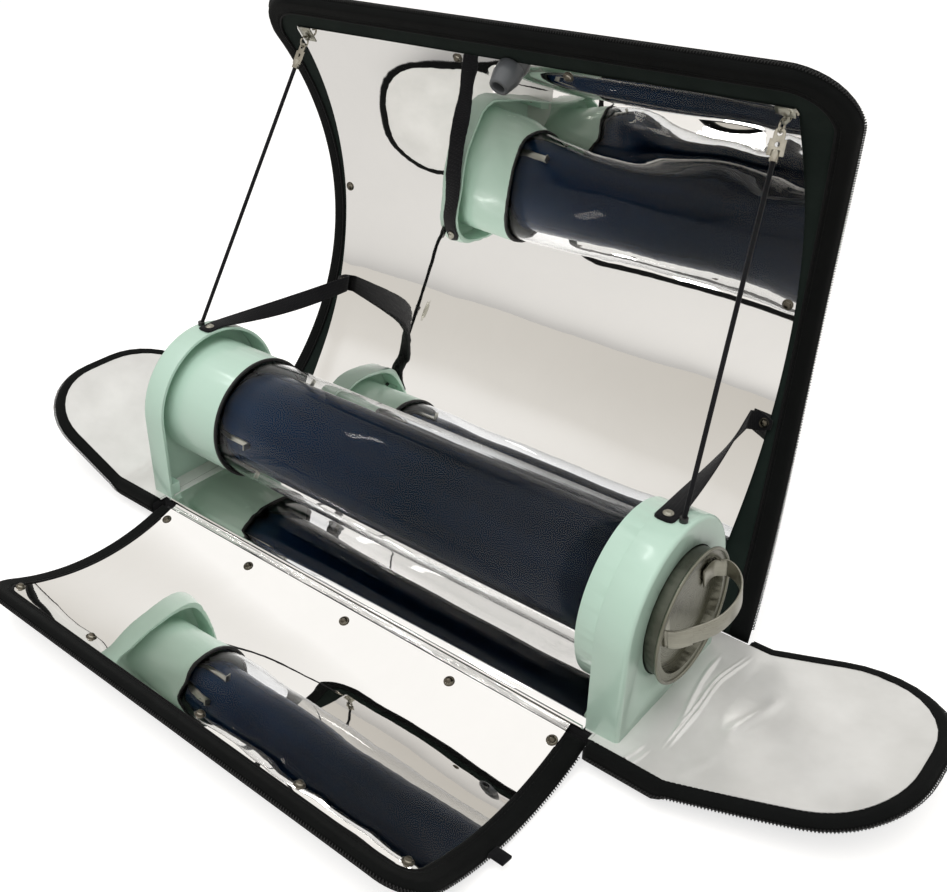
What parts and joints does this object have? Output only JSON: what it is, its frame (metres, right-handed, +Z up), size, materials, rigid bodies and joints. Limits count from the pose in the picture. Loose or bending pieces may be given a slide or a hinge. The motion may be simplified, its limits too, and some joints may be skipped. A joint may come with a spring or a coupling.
{
  "type": "parabolic solar cooker",
  "caption": "Folding solar cooker: a glass vacuum tube with a pull-out tray, held in two brackets between hinged, curved mirror panels on a soft case.",
  "frame": {"origin": "middle of the underside of the padded base, straight below the tube's axis", "axes": "+X along the tube towards its open end, +Z up, -Y to the front"},
  "size_m": [0.9998, 0.5419, 0.5222],
  "materials": {
    "black_cloth": "woven, matt",
    "grey_cloth": "woven, matt",
    "silver_cloth": "coated, satin",
    "black_tape": "zip tape and coil",
    "webbing": "woven",
    "cord": "braided",
    "board": "plain board",
    "mirror_film": "bright",
    "mint_plastic": "moulded plastic, satin",
    "grey_plastic": "moulded",
    "black_plastic": "moulded",
    "seal_rubber": "matt",
    "clear_rubber": "matt",
    "clear_glass": "clear",
    "coated_glass": "dark coating behind glass",
    "steel": "brushed",
    "brass_stud": "nickelled"
  },
  "bodies": {
    "case": {"base_cover": "black_cloth", "base_board": "board", "base_lining": "silver_cloth", "base_mirror": "mirror_film", "base_binding": "black_tape", "front_lip": "steel", "feet": "clear_rubber", "rear_hinge_tape": "black_tape", "front_hinge_tape": "black_tape", "left_hinge_tape": "black_tape", "right_hinge_tape": "black_tape", "left_bracket": "mint_plastic", "right_bracket": "mint_plastic", "bracket_screws": "steel", "cup_seal": "seal_rubber", "mouth_seal": "seal_rubber", "dome_pad": "seal_rubber", "outer_glass": "clear_glass", "inner_glass": "coated_glass", "dome_spring": "steel", "strap_screws": "steel", "cord_anchors": "black_plastic", "left_cord": "cord", "right_cord": "cord", "left_strap": "webbing", "right_strap": "webbing"},
    "back_panel": {"back_cover": "grey_cloth", "back_board": "board", "back_mirror": "mirror_film", "back_binding": "black_tape", "back_studs": "brass_stud", "strap_studs": "brass_stud", "left_cord_tab": "steel", "right_cord_tab": "steel", "left_cord_clip": "brass_stud", "right_cord_clip": "brass_stud", "sight_cup": "grey_plastic", "sight_pin": "steel"},
    "front_panel": {"front_cover": "black_cloth", "front_board": "board", "front_mirror": "mirror_film", "front_binding": "black_tape", "front_upper_studs": "brass_stud", "front_lower_studs": "brass_stud", "front_pull": "webbing"},
    "left_flap": {"left_flap_cover": "black_cloth", "left_flap_lining": "silver_cloth", "left_flap_binding": "black_tape"},
    "right_flap": {"right_flap_cover": "black_cloth", "right_flap_lining": "silver_cloth", "right_flap_binding": "black_tape"},
    "drawer": {"tray": "steel", "stopper": "grey_plastic", "lid": "steel", "handle": "steel", "tray_rivets": "steel"}
  },
  "joints": [
    {"name": "back_panel_fold", "type": "hinge", "parent": "case", "child": "back_panel", "pos_m": [0, 0.103, 0.012], "axis": [1, 0, 0], "range_deg": [0, 45], "deforming": ["left_cord", "right_cord", "left_strap", "right_strap"]},
    {"name": "front_panel_fold", "type": "hinge", "parent": "case", "child": "front_panel", "pos_m": [0, -0.0895, 0.0093], "axis": [-1, 0, 0], "range_deg": [0, 85]},
    {"name": "left_flap_fold", "type": "hinge", "parent": "case", "child": "left_flap", "pos_m": [-0.339, 0, 0.012], "axis": [0, 1, 0], "range_deg": [-27, 66]},
    {"name": "right_flap_fold", "type": "hinge", "parent": "case", "child": "right_flap", "pos_m": [0.339, 0, 0.012], "axis": [0, 1, 0], "range_deg": [-80, 13]},
    {"name": "tray_slide", "type": "slide", "parent": "case", "child": "drawer", "axis": [1, 0, 0], "range_m": [0, 0.46]}
  ]
}
